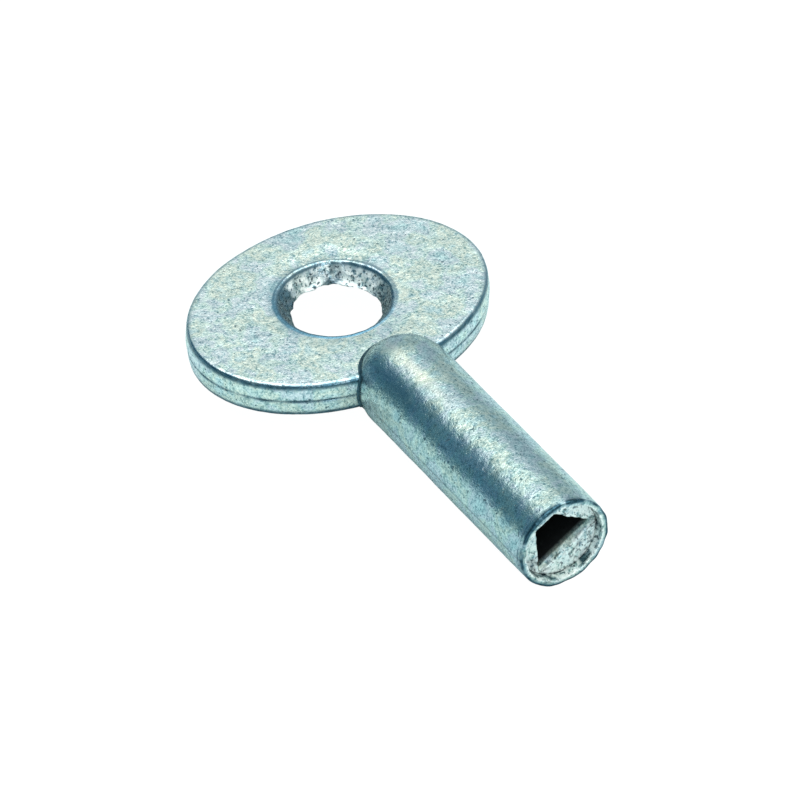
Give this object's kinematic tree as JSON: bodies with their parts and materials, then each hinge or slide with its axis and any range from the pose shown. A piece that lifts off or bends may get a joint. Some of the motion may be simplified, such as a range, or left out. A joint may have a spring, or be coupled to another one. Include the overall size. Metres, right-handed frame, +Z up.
{
  "type": "radiator bleed key",
  "caption": "Small cast-zinc valve key: flat oval bow with a round eye, a domed round barrel and a recessed triangular socket in its mouth.",
  "frame": {"origin": "centre of the barrel's mouth, in the plane of its rim", "axes": "+X out of the mouth along the barrel's axis, +Y across the bow towards the corner of the socket, +Z up, square to the bow's faces"},
  "size_m": [0.0514, 0.0303, 0.0095],
  "materials": {
    "cast_zinc": "satin",
    "socket_zinc": "satin"
  },
  "bodies": {
    "root": {"bow": "cast_zinc", "barrel": "cast_zinc", "socket_insert": "socket_zinc"}
  },
  "joints": []
}
